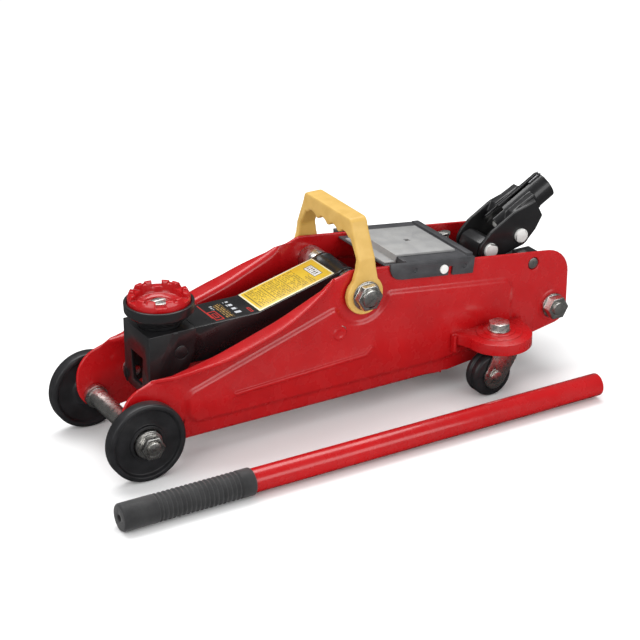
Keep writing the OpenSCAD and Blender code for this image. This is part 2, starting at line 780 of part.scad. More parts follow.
left_side_plate();
right_side_plate();
front_axle();
axle_spacers();
axle_washers();
axle_nuts();
left_front_wheel();
right_front_wheel();
lift_pivot_shaft();
pivot_nuts();
pivot_spacers();
carry_handle();
cover_tray();
cover_panel();
cover_screws();
left_caster_ear();
right_caster_ear();
caster_bolts();
left_caster_race();
right_caster_race();
left_caster_yoke();
right_caster_yoke();
left_caster_wheel();
right_caster_wheel();
left_caster_axle();
right_caster_axle();
rear_tie_rod();
rear_nuts();
side_bolts();
lift_arm();
arm_label();
bracket_pin();
saddle_bracket();
bracket_studs();
saddle_holder();
saddle();
saddle_screw();
link_rods();
link_studs();
crank_pin();
ram_head();
ram();
ram_cylinder();
reservoir();
pump_block();
filler_plug();
pump_piston();
pump_spring();
release_valve();
release_lever();
return_springs();
handle_socket();
socket_latch();
socket_pin();
roller_pin();
pump_roller();
handle_tube();
handle_grip();
handle_detent();
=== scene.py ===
# %% [markdown]
# # A trolley jack and its loose pump handle
# A low floor jack is a folded box of red sheet steel that rolls on four small wheels.
# A black arm lies in the box and carries the saddle; a yellow bail is there to lift it by.
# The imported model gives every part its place, and this file gives the parts their look.
# The lengths below are in millimetres from the front axle, which is how a jack is drawn.

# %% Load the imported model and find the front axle
import json
import math

import bpy
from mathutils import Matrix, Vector
from mathutils.geometry import delaunay_2d_cdt


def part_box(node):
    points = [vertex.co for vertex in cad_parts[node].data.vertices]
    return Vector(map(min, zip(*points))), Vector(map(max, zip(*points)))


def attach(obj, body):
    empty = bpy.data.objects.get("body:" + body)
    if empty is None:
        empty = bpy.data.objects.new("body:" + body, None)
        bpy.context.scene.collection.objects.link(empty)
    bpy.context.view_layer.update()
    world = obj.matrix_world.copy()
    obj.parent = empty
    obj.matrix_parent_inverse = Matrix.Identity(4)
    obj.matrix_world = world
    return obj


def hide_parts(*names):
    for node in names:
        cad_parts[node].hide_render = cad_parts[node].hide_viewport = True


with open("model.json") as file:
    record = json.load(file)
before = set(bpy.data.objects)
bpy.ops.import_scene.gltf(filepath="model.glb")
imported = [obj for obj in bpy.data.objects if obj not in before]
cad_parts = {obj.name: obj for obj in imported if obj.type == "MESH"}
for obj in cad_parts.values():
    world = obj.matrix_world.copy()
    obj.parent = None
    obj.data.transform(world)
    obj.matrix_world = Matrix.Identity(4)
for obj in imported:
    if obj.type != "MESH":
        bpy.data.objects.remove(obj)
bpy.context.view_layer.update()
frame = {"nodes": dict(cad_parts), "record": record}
MM = 0.001
axle_low, axle_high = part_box("front_axle")
HOME = Vector(((axle_low.x + axle_high.x) / 2, (axle_low.y + axle_high.y) / 2, 0))
slots = [m["slot"] for m in frame["record"]["materials"]]
print("front axle at", [round(v, 4) for v in HOME], "with slots", slots)


def at(x, y, z):
    """A point in the jack's own millimetres, in the model's metres."""
    return HOME + Vector((x, y, z)) * MM


def drawn(point):
    """The other way round: a point of the model, in the jack's millimetres."""
    return (point - HOME) / MM


# %% [markdown]
# ## Camera
# The view is from the front left, a little above the jack, and from far away, so that
# the long frame hardly tapers. A long lens does that, and it is aimed at the middle.

# %% Camera
TURN, RISE = math.radians(-30.42532), math.radians(24.49706)
AIM, FAR_MM, LENS, SENSOR = at(195.109, 0, 74.09), 1750.2155, 114.4516, 36
level = math.cos(RISE)
back = Vector((math.sin(TURN) * level, -math.cos(TURN) * level, math.sin(RISE)))
bpy.ops.object.camera_add(location=AIM + back * FAR_MM * MM,
                          rotation=(math.pi / 2 - RISE, 0, TURN))
camera = bpy.context.object
camera.data.lens, camera.data.sensor_width = LENS, SENSOR
camera.data.clip_start, camera.data.clip_end = 0.05, 50
bpy.context.scene.camera = camera
print("camera at", [round(v, 3) for v in camera.location])

# %% [markdown]
# ## Studio
# A white sweep and large soft lamps make the broad pale bands that run along the painted
# edges. The room is bright, but black flags keep its glare out of the paint, so the
# reflections are dimmer than the light that falls on the jack.

# %% Floor, lamps and world
SWEEP_SIZE, SWEEP_DROP = 12, 0.0002
ROOM_LIGHT, ROOM_GLARE = 0.72, 0.1
bpy.ops.mesh.primitive_plane_add(size=SWEEP_SIZE, location=(0, 0, -SWEEP_DROP))
floor = bpy.context.object
floor.name = "studio_floor"


def lamp(name, spot, aim, size, watts):
    """A rectangular soft lamp at a point in metres, turned towards another."""
    bpy.ops.object.light_add(type="AREA", location=spot)
    light = bpy.context.object
    light.name = name
    light.data.shape, light.data.size, light.data.size_y = "RECTANGLE", size[0], size[1]
    light.data.energy = watts
    light.rotation_mode = "QUATERNION"
    light.rotation_quaternion = (Vector(aim) - Vector(spot)).to_track_quat("-Z", "Y")


lamp("top_lamp", (0.1, 0.5, 1.5), (0, 0, 0.05), (1.8, 0.9), 21)
lamp("left_lamp", (-1.5, -0.7, 1.0), (0, 0, 0.08), (1.0, 1.2), 12)
lamp("front_lamp", (0.5, -1.7, 0.7), (0, 0, 0.08), (1.6, 0.8), 10)
world = bpy.data.worlds.new("studio_room")
bpy.context.scene.world = world
world.use_nodes = True
room = world.node_tree.nodes["Background"]
room.inputs["Color"].default_value = (1, 1, 1, 1)
ray = world.node_tree.nodes.new("ShaderNodeLightPath")
dim = world.node_tree.nodes.new("ShaderNodeMapRange")
world.node_tree.links.new(ray.outputs["Is Glossy Ray"], dim.inputs["Value"])
dim.inputs["To Min"].default_value = ROOM_LIGHT
dim.inputs["To Max"].default_value = ROOM_GLARE
world.node_tree.links.new(dim.outputs[0], room.inputs["Strength"])
bpy.context.scene.view_settings.view_transform = "Standard"

# %% [markdown]
# ## A small kit for materials
# Every finish starts from the same shader. Adding its nodes one by one takes many lines, so
# a helper class adds a texture or a sum of two, and a recipe then reads as a short list of
# what the surface does. Patterns sit on Object coordinates, in metres, and so do not stretch.


# %% Material helpers
WORN_REACH, WORN_SAMPLES, WORN_TURN = 0.0007, 6, (0.02, 0.14)


class Recipe:
    """A node material with one Principled shader and a few ready-made moves."""

    def __init__(self, name, **sockets):
        self.material = bpy.data.materials.new(name)
        self.material.use_nodes = True
        self.tree = self.material.node_tree
        self.shader = self.tree.nodes["Principled BSDF"]
        for socket, value in sockets.items():
            self.shader.inputs[socket.replace("_", " ")].default_value = value
        self.where = self.tree.nodes.new("ShaderNodeTexCoord").outputs["Object"]

    def link(self, source, target):
        self.tree.links.new(source, target)

    def put(self, node, **values):
        """A node with its sockets given by name, as numbers or as other outputs."""
        made = self.tree.nodes.new(node)
        for key, value in values.items():
            socket = made.inputs[int(key[1:]) if key[1:].isdigit() else key.replace("_", " ")]
            if isinstance(value, bpy.types.NodeSocket):
                self.link(value, socket)
            else:
                socket.default_value = value
        return made

    def maths(self, what, a, b=0.0, c=0.0):
        made = self.put("ShaderNodeMath", _0=a, _1=b, _2=c)
        made.operation = what
        return made.outputs[0]

    def stretch(self, scale, move=(0, 0, 0)):
        """Object coordinates, stretched and moved."""
        return self.put("ShaderNodeMapping", Vector=self.where, Scale=scale,
                        Location=move).outputs[0]

    def noise(self, scale, detail=2.0, rough=0.5, where=None):
        return self.put("ShaderNodeTexNoise", Vector=where or self.where, Scale=scale,
                        Detail=detail, Roughness=rough).outputs["Fac"]

    def steps(self, value, low, high, a=0.0, b=1.0):
        """Value between low and high becomes a number between a and b."""
        made = self.put("ShaderNodeMapRange", Value=value)
        for key, number in zip(range(1, 5), (low, high, a, b)):
            made.inputs[key].default_value = number
        return made.outputs[0]

    def mix(self, share, a, b):
        made = self.put("ShaderNodeMix")
        made.data_type = "RGBA"
        for key, value in ((0, share), (6, a), (7, b)):
            if isinstance(value, bpy.types.NodeSocket):
                self.link(value, made.inputs[key])
            else:
                made.inputs[key].default_value = value if key == 0 else (*value, 1)
        return made.outputs[2]

    def worn_edges(self):
        """How strongly a sharp edge turns here, broken up by a fine noise."""
        soft = self.put("ShaderNodeBevel", Radius=WORN_REACH)
        soft.samples = WORN_SAMPLES
        true = self.tree.nodes.new("ShaderNodeNewGeometry").outputs["Normal"]
        dot = self.tree.nodes.new("ShaderNodeVectorMath")
        dot.operation = "DOT_PRODUCT"
        self.link(soft.outputs[0], dot.inputs[0])
        self.link(true, dot.inputs[1])
        turn = self.maths("SUBTRACT", 1.0, dot.outputs["Value"])
        patchy = self.steps(self.noise(260, 4, 0.6), 0.42, 0.62)
        return self.maths("MULTIPLY", self.steps(turn, *WORN_TURN), patchy)

    def colour(self, socket):
        self.link(socket, self.shader.inputs["Base Color"])

    def roughness(self, socket):
        self.link(socket, self.shader.inputs["Roughness"])

    def bump(self, height, strength, distance):
        made = self.put("ShaderNodeBump", Height=height, Strength=strength, Distance=distance)
        self.link(made.outputs[0], self.shader.inputs["Normal"])


# %% [markdown]
# ## Paint and plating
# The frame is sprayed with red enamel: a wet, slightly wavy film, thin over the edges.
# The arm and socket are black enamel. A plain glossy colour would look like plastic, so
# two close tones, a fine bump and a clear coat are laid over one another.


# %% Sprayed enamel
def enamel(name, base, deep, edge, rough):
    """Sprayed paint: two close tones, orange peel, and a rubbed look on sharp edges."""
    r = Recipe(name, Coat_Weight=0.35, Coat_Roughness=0.08, IOR=1.5)
    tone = r.mix(r.steps(r.noise(22, 3), 0.3, 0.7), base, deep)
    r.colour(r.mix(r.worn_edges(), tone, edge))
    r.roughness(r.steps(r.noise(70, 4), 0.3, 0.7, rough - 0.05, rough + 0.08))
    r.bump(r.noise(620, 2, 0.4), 0.06, 0.0004)
    return r.material


RED = enamel("red_enamel", base=(0.47, 0.005, 0.007), deep=(0.4, 0.004, 0.006),
             edge=(0.66, 0.06, 0.05), rough=0.25)
BLACK = enamel("black_enamel", base=(0.008, 0.008, 0.009), deep=(0.014, 0.014, 0.015),
               edge=(0.05, 0.05, 0.052), rough=0.33)
print("enamels:", RED.name, BLACK.name)

# %% [markdown]
# Axles and nuts are bright zinc. Plating is a metal with a cloudy bloom, and turning leaves
# a faint grain in it, so one noise mixes two greys and another is stretched along the parts.


# %% Bright zinc
def plated(name, pale, dull, rough):
    """Zinc plating: cloudy metal with a faint turned grain."""
    r = Recipe(name, Metallic=1.0)
    cloud = r.steps(r.noise(140, 5, 0.6), 0.35, 0.65)
    r.colour(r.mix(cloud, pale, dull))
    r.roughness(r.steps(r.noise(320, 3), 0.3, 0.7, rough - 0.07, rough + 0.1))
    r.bump(r.noise(1, 3, 0.6, r.stretch(TURNED_GRAIN)), 0.08, 0.0002)
    return r.material


TURNED_GRAIN = (900, 900, 60)
ZINC = plated("zinc_plate", (0.78, 0.77, 0.74), (0.6, 0.59, 0.56), 0.28)
SPRING = plated("spring_wire", (0.42, 0.42, 0.43), (0.3, 0.3, 0.31), 0.3)
print("metals:", ZINC.name, SPRING.name)

# %% [markdown]
# The bail, the cover and the wheels are moulded or painted with a fine even grain. They have
# no coat, so the highlights are broad. One recipe serves them all, from nylon to rubber.


# %% Moulded plastic and rubber
def moulded(name, base, deep, rough, grain, bump, sheen=0.0):
    """Moulded plastic or rubber: a fine even grain and slightly uneven colour."""
    r = Recipe(name, Sheen_Weight=sheen, IOR=1.48)
    r.colour(r.mix(r.steps(r.noise(90, 4), 0.35, 0.65), base, deep))
    r.roughness(r.steps(r.noise(450, 3), 0.3, 0.7, rough - 0.06, rough + 0.08))
    r.bump(r.noise(grain, 2, 0.5), bump, 0.0002)
    return r.material


NYLON = moulded("black_nylon", (0.012, 0.012, 0.013), (0.02, 0.02, 0.022), 0.36, 1500, 0.12)
YELLOW = moulded("yellow_moulding", (0.66, 0.42, 0.11), (0.6, 0.37, 0.085), 0.42, 1100, 0.1)
GREY = moulded("grey_cover_paint", (0.045, 0.046, 0.05), (0.06, 0.06, 0.065), 0.42, 1300, 0.1)
PALE = moulded("pale_panel_paint", (0.3, 0.3, 0.3), (0.36, 0.36, 0.355), 0.34, 900, 0.06)
RUBBER = moulded("grip_rubber", (0.016, 0.016, 0.017), (0.026, 0.026, 0.027), 0.62, 1700, 0.3,
                 sheen=0.2)
WHITE = moulded("white_pin", (0.78, 0.78, 0.76), (0.68, 0.68, 0.66), 0.32, 1200, 0.06)
print(len(bpy.data.materials), "materials so far")

# %% [markdown]
# The sweep is white paper. Where the jack mirrors it, it is dark, as a black flag beside the
# lens would make it, so the red plates keep their depth near the floor.

# %% White paper sweep
SWEEP = Recipe("studio_sweep")
SWEEP.roughness(SWEEP.steps(SWEEP.noise(3), 0, 1, 0.85, 0.95))
mirrored_ray = SWEEP.put("ShaderNodeLightPath").outputs["Is Glossy Ray"]
SWEEP.colour(SWEEP.mix(mirrored_ray, (0.93, 0.93, 0.93), (0.05, 0.05, 0.05)))
floor.data.materials.append(SWEEP.material)
print("sweep painted with", SWEEP.material.name)

# %% [markdown]
# ## Printed marks
# The yellow sticker has a pale border and blocks of small print, here only broken lines
# that read as nothing. The black strip before it has red frames, gold lines and pale marks.
# A decal would be loaded as a file, so rectangles and strokes are worked out by maths nodes
# instead, on a patch of the arm that is ruled from 0 to 1 both ways.


# %% Ruler, rectangles and strokes
def ruled(r, start, end, half_width):
    """Length and width across a patch of the arm's top, both running from 0 to 1."""
    across, side = 1 / (end - start), 1 / (2 * half_width)
    patch = r.stretch((across / MM, side / MM, 1),
                      (-(HOME.x / MM + start) * across, 0.5 - HOME.y / MM * side, 0))
    split = r.put("ShaderNodeSeparateXYZ", Vector=patch)
    return split.outputs[0], split.outputs[1]


def block(r, u, v, u_mid, v_mid, u_half, v_half):
    """1 inside a rectangle of the patch and 0 outside it."""
    return r.maths("MULTIPLY", r.maths("COMPARE", u, u_mid, u_half),
                   r.maths("COMPARE", v, v_mid, v_half))


def blocks(r, u, v, places):
    """1 inside any of some rectangles."""
    return total(r, *[block(r, u, v, *place) for place in places])


def frame_of(r, u, v, u_mid, v_mid, u_half, v_half, u_line, v_line):
    """The outline of such a rectangle."""
    return r.maths("SUBTRACT", block(r, u, v, u_mid, v_mid, u_half, v_half),
                   block(r, u, v, u_mid, v_mid, u_half - u_line, v_half - v_line))


def small_print(r, u, v, rows, scale):
    """Rows of broken strokes, like print seen from too far off to read."""
    stroke = r.maths("LESS_THAN", r.maths("FRACT", r.maths("MULTIPLY", v, rows)), 0.5)
    line = r.maths("FLOOR", r.maths("MULTIPLY", v, rows))
    place = r.put("ShaderNodeCombineXYZ", X=r.maths("MULTIPLY", u, scale),
                  Y=r.maths("MULTIPLY", line, ROW_SHIFT))
    gaps = r.maths("GREATER_THAN", r.noise(1, 2, 0.5, place.outputs[0]), 0.46)
    return r.maths("MULTIPLY", stroke, gaps)


def total(r, *masks):
    """1 where any of the masks is 1."""
    whole = masks[0]
    for mask in masks[1:]:
        whole = r.maths("MAXIMUM", whole, mask)
    return whole


# %% Layout of the print
# Each rectangle is (middle along, middle across, half its length, half its width).
ROW_SHIFT, ARM_HALF = 3.7, 19
STICKER_ENDS, STRIP_ENDS = (126, 198), (84, 124)
TEXT = [(0.16, 0.5, 0.085, 0.41), (0.38, 0.5, 0.1, 0.41), (0.6, 0.5, 0.09, 0.41),
        (0.75, 0.26, 0.035, 0.18)]
HEADINGS = [(0.055, 0.5, 0.008, 0.4), (0.262, 0.5, 0.006, 0.36), (0.495, 0.5, 0.005, 0.4)]
INSIDE, WHITE_TAG, TAG_TEXT = ((0.5, 0.5, 0.484, 0.462), (0.86, 0.5, 0.055, 0.26),
                               (0.86, 0.5, 0.035, 0.2))
RED_FRAMES = [(0.16, 0.3, 0.1, 0.24, 0.025, 0.035), (0.16, 0.3, 0.045, 0.12, 0.02, 0.03),
              (0.93, 0.22, 0.035, 0.12, 0.02, 0.03)]
GOLD_TEXT, PALE_TEXT, PALE_SMALL = ((0.42, 0.45, 0.09, 0.38), (0.66, 0.5, 0.07, 0.36),
                                    (0.27, 0.7, 0.04, 0.12))
print(len(TEXT) + len(HEADINGS), "blocks of print on the sticker")


# %% Caution sticker
def sticker():
    """The caution sticker on the arm."""
    r = Recipe("caution_sticker", IOR=1.5, Coat_Weight=0.5, Coat_Roughness=0.15)
    u, v = ruled(r, *STICKER_ENDS, ARM_HALF)
    ink = r.maths("MULTIPLY", blocks(r, u, v, TEXT), small_print(r, u, v, 15, 60))
    printed = total(r, ink, blocks(r, u, v, HEADINGS))
    paper = r.mix(r.steps(r.noise(60, 3), 0.35, 0.65), (0.7, 0.47, 0.025), (0.64, 0.42, 0.022))
    paper = r.mix(block(r, u, v, *INSIDE), (0.8, 0.74, 0.5), paper)
    paper = r.mix(r.maths("MULTIPLY", printed, 0.78), paper, (0.1, 0.075, 0.02))
    paper = r.mix(block(r, u, v, *WHITE_TAG), paper, (0.72, 0.72, 0.7))
    tag_text = r.maths("MULTIPLY", block(r, u, v, *TAG_TEXT), small_print(r, u, v, 12, 90))
    marks = total(r, frame_of(r, u, v, *WHITE_TAG, 0.007, 0.02), tag_text)
    r.colour(r.mix(marks, paper, (0.05, 0.05, 0.05)))
    r.roughness(r.steps(r.noise(300, 3), 0.3, 0.7, 0.3, 0.42))
    r.bump(ink, 0.05, 0.00005)
    return r.material


# %% Printed strip in front of the sticker
def printed_enamel():
    """Black enamel with the printed strip in front of the sticker."""
    r = Recipe("printed_black_enamel", Coat_Weight=0.45, Coat_Roughness=0.08, IOR=1.5)
    u, v = ruled(r, *STRIP_ENDS, ARM_HALF)
    normal = r.put("ShaderNodeNewGeometry").outputs["Normal"]
    up = r.put("ShaderNodeSeparateXYZ", Vector=normal).outputs[2]
    top = r.maths("MULTIPLY", r.maths("GREATER_THAN", up, 0.8),
                  r.maths("COMPARE", v, 0.5, 0.47))
    bar = r.maths("SUBTRACT", r.maths("COMPARE", u, 0.05, 0.014),
                  r.maths("COMPARE", v, 0.1, 0.1))
    red = total(r, bar, *[frame_of(r, u, v, *place) for place in RED_FRAMES])
    gold = r.maths("MULTIPLY", block(r, u, v, *GOLD_TEXT), small_print(r, v, u, 18, 26))
    lines = r.maths("MULTIPLY", block(r, u, v, *PALE_TEXT), small_print(r, u, v, 5, 14))
    small = r.maths("MULTIPLY", block(r, u, v, *PALE_SMALL), small_print(r, u, v, 12, 30))
    pale = total(r, lines, small)
    cloud = r.steps(r.noise(22, 3), 0.3, 0.7)
    tone = r.mix(cloud, (0.006, 0.006, 0.007), (0.011, 0.011, 0.012))
    tone = r.mix(r.worn_edges(), tone, (0.06, 0.06, 0.062))
    for mask, ink in ((red, (0.5, 0.02, 0.015)), (gold, (0.42, 0.25, 0.07)),
                      (pale, (0.55, 0.57, 0.6))):
        tone = r.mix(r.maths("MULTIPLY", mask, top), tone, ink)
    r.colour(tone)
    r.roughness(r.steps(r.noise(70, 4), 0.3, 0.7, 0.24, 0.36))
    r.bump(r.noise(620, 2, 0.4), 0.06, 0.0004)
    return r.material


STICKER, ARM_BLACK = sticker(), printed_enamel()
print("printed:", STICKER.name, ARM_BLACK.name)

# %% [markdown]
# ## Helpers for pieces
# Three moves are used all the time: starting with nothing selected, rounding the sharp
# edges over, and handing a finished piece to the body that it moves with. An operator acts
# on all that is selected, so each of them first selects one object and nothing else.


# %% Selecting and applying
def select_nothing():
    """Leaves edit mode and deselects everything."""
    if bpy.context.object and bpy.context.object.mode != "OBJECT":
        bpy.ops.object.mode_set(mode="OBJECT")
    bpy.ops.object.select_all(action="DESELECT")


def only(piece):
    """Selects one object and nothing else."""
    select_nothing()
    piece.select_set(True)
    bpy.context.view_layer.objects.active = piece


def apply_all(piece):
    """Turns the modifiers and the object's place into plain mesh."""
    only(piece)
    for modifier in list(piece.modifiers):
        bpy.ops.object.modifier_apply(modifier=modifier.name)
    bpy.ops.object.transform_apply(location=True, rotation=True, scale=True)


# %% Rounding over and handing over
def ease(piece, width):
    """Rounds the sharp edges over by so many millimetres."""
    rim = piece.modifiers.new("ease", "BEVEL")
    rim.width, rim.segments, rim.limit_method = width * MM, 2, "ANGLE"
    rim.angle_limit, rim.use_clamp_overlap = math.radians(35), False
    apply_all(piece)


def hand_over(piece, name, material, body, stands_for=(), smooth=40):
    """Names a finished piece, paints it, smooths it and sets it on its body."""
    apply_all(piece)
    piece.name = piece.data.name = name
    piece.data.materials.clear()
    piece.data.materials.append(material)
    bpy.ops.object.shade_smooth_by_angle(angle=math.radians(smooth))
    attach(piece, body)
    if stands_for:
        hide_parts(*stands_for)
    print(name, len(piece.data.polygons), "faces on", body)


# %% [markdown]
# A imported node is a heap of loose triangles. Nothing can be rounded until its corners are
# merged, and flat faces that are cut into triangles are joined up, so that only the real
# edges are left for the bevel to find.

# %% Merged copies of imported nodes
SAME_CORNER, FLAT_ANGLE = 0.00005, 0.03


def copy_of(node, joined=True):
    """A merged copy of a CAD node, with its flat faces joined up again if asked."""
    source = frame["nodes"][node]
    piece = source.copy()
    piece.data = source.data.copy()
    piece.parent = None
    for key in list(piece.keys()):
        del piece[key]
    bpy.context.scene.collection.objects.link(piece)
    only(piece)
    bpy.ops.mesh.customdata_custom_splitnormals_clear()
    bpy.ops.object.mode_set(mode="EDIT")
    bpy.ops.mesh.select_all(action="SELECT")
    bpy.ops.mesh.remove_doubles(threshold=SAME_CORNER)
    if joined:
        bpy.ops.mesh.dissolve_limited(angle_limit=math.radians(FLAT_ANGLE))
    bpy.ops.object.mode_set(mode="OBJECT")
    return piece


# %% Bodies, slots and paint
bodies = frame["record"]["behaviour"]["bodies"]
BODY_OF = {node: body for body, nodes in bodies.items() for node in nodes}
SLOT_OF = {node: piece.data.materials[0].name.split(".")[0]
           for node, piece in frame["nodes"].items()}
PAINT = {"red_paint": RED, "black_paint": BLACK, "zinc": ZINC, "black_nylon": NYLON,
         "yellow_moulding": YELLOW, "grey_cover": GREY, "light_panel": PALE, "label": STICKER,
         "grip_rubber": RUBBER, "spring_steel": SPRING, "white_pin": WHITE}
for node, piece in frame["nodes"].items():
    piece.data.materials.clear()
    piece.data.materials.append(PAINT[SLOT_OF[node]])

# %% [markdown]
# ## Drawing in edit mode
# A sheet part begins as a line drawn corner by corner. Corners are rounded first, because
# sheet steel is never cut sharp. A ring of vertices is added and laid along the sketch,
# and the same helpers then pick what to extrude, inset or fill by where it is.


# %% Outlines
def arc(centre, radius, start, end, count):
    """Points on a circle, from one angle in degrees to another."""
    turns = [math.radians(start + (end - start) * i / (count - 1)) for i in range(count)]
    return [(centre[0] + radius * math.cos(t), centre[1] + radius * math.sin(t)) for t in turns]


def rounded(corners, step=12):
    """A closed outline from (a, b, radius) corners, with an arc in place of each corner."""
    outline = []
    for i, (x, z, radius) in enumerate(corners):
        here = Vector((x, z))
        before = (Vector(corners[i - 1][:2]) - here).normalized()
        after = (Vector(corners[(i + 1) % len(corners)][:2]) - here).normalized()
        opening = before.angle(after)
        if radius == 0 or opening > math.radians(179):
            outline.append((x, z))
            continue
        sweep = math.pi - opening
        middle = here + (before + after).normalized() * radius / math.sin(opening / 2)
        start = here + before * radius / math.tan(opening / 2) - middle
        end = here + after * radius / math.tan(opening / 2) - middle
        count = max(2, int(math.degrees(sweep) / step) + 2)
        for k in range(count):
            share = k / (count - 1)
            mixed = start * math.sin((1 - share) * sweep) + end * math.sin(share * sweep)
            outline.append(tuple(middle + mixed / math.sin(sweep)))
    return outline


def spread(outline, gap):
    """The same closed outline with points no further apart than gap."""
    points = []
    for i, start in enumerate(outline):
        end = outline[(i + 1) % len(outline)]
        parts = max(1, math.ceil(math.dist(start, end) / gap))
        points += [tuple(Vector(start).lerp(Vector(end), k / parts)) for k in range(parts)]
    return points


def between(table, x):
    """A straight-line reading of a table of (x, value) rows."""
    if x <= table[0][0]:
        return table[0][1]
    for (x0, v0), (x1, v1) in zip(table, table[1:]):
        if x <= x1:
            return v0 + (v1 - v0) * (x - x0) / (x1 - x0)
    return table[-1][1]


def circle_of(centre, radius, count):
    """A closed circle, with its first point not repeated."""
    return arc(centre, radius, 0, 360, count + 1)[:-1]


# %% Rings, picks and moves
def blank():
    """A new mesh object in edit mode, with nothing in it yet."""
    select_nothing()
    bpy.ops.object.add(type="MESH", location=(0, 0, 0))
    bpy.ops.object.mode_set(mode="EDIT")
    return bpy.context.object


def draw(points):
    """Lays a new closed ring along (x, y, z) points, and leaves it selected."""
    bpy.ops.mesh.select_mode(type="VERT")
    bpy.ops.mesh.select_all(action="DESELECT")
    bpy.ops.mesh.primitive_circle_add(vertices=len(points), radius=0.01, location=(0, 0, 0))
    bpy.ops.object.mode_set(mode="OBJECT")
    ring = [v for v in bpy.context.object.data.vertices if v.select]
    for vertex, point in zip(ring, points):
        vertex.co = at(*point)
    bpy.ops.object.mode_set(mode="EDIT")


def pick_edges(test):
    """Selects the edges whose two ends, in jack millimetres, both pass a test."""
    bpy.ops.mesh.select_mode(type="EDGE")
    bpy.ops.mesh.select_all(action="DESELECT")
    bpy.ops.object.mode_set(mode="OBJECT")
    mesh = bpy.context.object.data
    passed = [test(drawn(v.co)) for v in mesh.vertices]
    for edge in mesh.edges:
        edge.select = all(passed[i] for i in edge.vertices)
    bpy.ops.object.mode_set(mode="EDIT")


def place_picked(spot):
    """Moves each selected vertex to the spot that its x says, in jack millimetres."""
    bpy.ops.object.mode_set(mode="OBJECT")
    for vertex in bpy.context.object.data.vertices:
        if vertex.select:
            vertex.co = at(*spot(drawn(vertex.co).x))
    bpy.ops.object.mode_set(mode="EDIT")


# %% Presses and the mirror
def press(profile):
    """Presses the selected face out in small steps of (inward, outward) millimetres."""
    for inward, outward in profile:
        bpy.ops.mesh.inset(thickness=inward * MM, depth=outward * MM)


def swell(width, height, steps):
    """An S-shaped ramp for press(), so many millimetres wide and high."""
    rise = [(1 - math.cos(math.pi * i / steps)) / 2 for i in range(steps + 1)]
    return [(width / steps, height * (b - a)) for a, b in zip(rise, rise[1:])]


def mirrored(piece, name):
    """A copy on the other side of the jack's middle plane, with its own mesh."""
    only(piece)
    bpy.ops.object.duplicate()
    other = bpy.context.object
    other.name = other.data.name = name
    other.location.y, other.scale.y = 2 * HOME.y, -1
    apply_all(other)
    bpy.ops.object.mode_set(mode="EDIT")
    bpy.ops.mesh.select_all(action="SELECT")
    bpy.ops.mesh.flip_normals()
    bpy.ops.object.mode_set(mode="OBJECT")
    return other


# %% [markdown]
# ## Side plates
# Each side of the frame is a pressed steel plate. A low panel is pushed outwards for
# stiffness, with a long bead in it, and the top edge is turned outwards in a crescent.
# A solid block could be cut to this shape, but a real plate is one thin sheet, so the flat
# skin is sketched, the panels are pressed by repeated insets, the edges are turned by
# extruding the rim, and Solidify gives the sheet its three millimetres.

# %% Outlines of the plate
OUT, THICK, RAISED, OUTWARD = -45, 3, 2.5, Vector((0, -1, 0))
PIVOT, TIE, BOLT, DIMPLE = (209, 114), (408.6, 57.9), (387, 102), (186.6, 82.6)
TIE_LAND, BOLT_HOLE, DIMPLE_EDGE = 15.5, 5.7, 6.6
PLATE = [(-15, 71.5, 26), (73, 90, 90), (130, 108, 120), (172, 125.6, 60), (199, 136, 16),
         (229.6, 132.3, 40), (401.8, 111.1, 120), (425.4, 107.6, 24), (425.4, 41.6, 15),
         (384, 34, 80), (330, 24, 120), (291, 19.5, 120), (-15, 19.3, 25.6)]
PANEL = [(39.5, 63.1, 11), (185.6, 109.2, 7.5),
         *[(*p, 0) for p in arc(PIVOT, 24, 213, 335, 18)],
         (232.9, 111.9, 7.5), (366, 95.5, 12), (366, 38, 12), (330, 33.5, 60),
         (286, 29.5, 80), (42, 31, 14)]
OUTLINE = spread(rounded(PLATE), 7)
TOP = sorted((x, z) for x, z in OUTLINE if z > 60 and x < 199)
FOOT = sorted((x, z) for x, z in OUTLINE if z < 30 and x > 10)
CREST = [(12, 0), (24, 3.4), (34, 6.2), (48, 9.6), (60, 12), (76, 14.3), (90, 15.5), (105, 16),
         (120, 15.8), (140, 13.5), (152, 10.9), (162, 8), (174, 4), (184, 0)]
CREST_BEND, CREST_FULL = 2.5, 5
LIP, LIP_BEND = [(30, 0), (44, 13), (276, 13), (296, 0)], 4
BEAD = rounded([(85, 48.3, 2), (85, 53.5, 2), (211, 59.2, 3), (217, 65.2, 2.4),
                (221.4, 61.8, 2.4), (213.4, 54, 6)], 20)
print("plate outline of", len(OUTLINE), "points,", len(TOP), "of them along the top")


# %% Heights of the rim, and where it is turned
def top_of(x):
    """Height of the plate's top edge."""
    return between(TOP, x)


def foot_of(x):
    """Height of the plate's bottom edge."""
    return between(FOOT, x)


def crest_share(x):
    """How far the turned top edge has set in here, from 0 to 1."""
    return min(1, between(CREST, x) / CREST_FULL)


def lip_share(x):
    """The same for the bottom lip."""
    return between(LIP, x) / LIP[1][1]


def bend_top(x):
    """Height at which the flat sheet ends and the crescent's bend starts."""
    return top_of(x) - (THICK + CREST_BEND) * crest_share(x)


# %% [markdown]
# Each pressing is an island: a closed ring drawn on the sheet, filled with one face, and
# pushed out by a chain of small insets that follow a soft S. A displaced grid would need
# thousands of faces to be as crisp.


# %% Islands: closed shapes raised from a flat sheet
def face_out():
    """Fills the selected ring with one face that looks outwards, and keeps it selected."""
    bpy.ops.mesh.edge_face_add()
    bpy.ops.object.mode_set(mode="OBJECT")
    face = next(f for f in bpy.context.object.data.polygons if f.select)
    wrong = face.normal.dot(OUTWARD) < 0
    bpy.ops.object.mode_set(mode="EDIT")
    bpy.ops.mesh.select_mode(type="FACE")
    if wrong:
        bpy.ops.mesh.flip_normals()


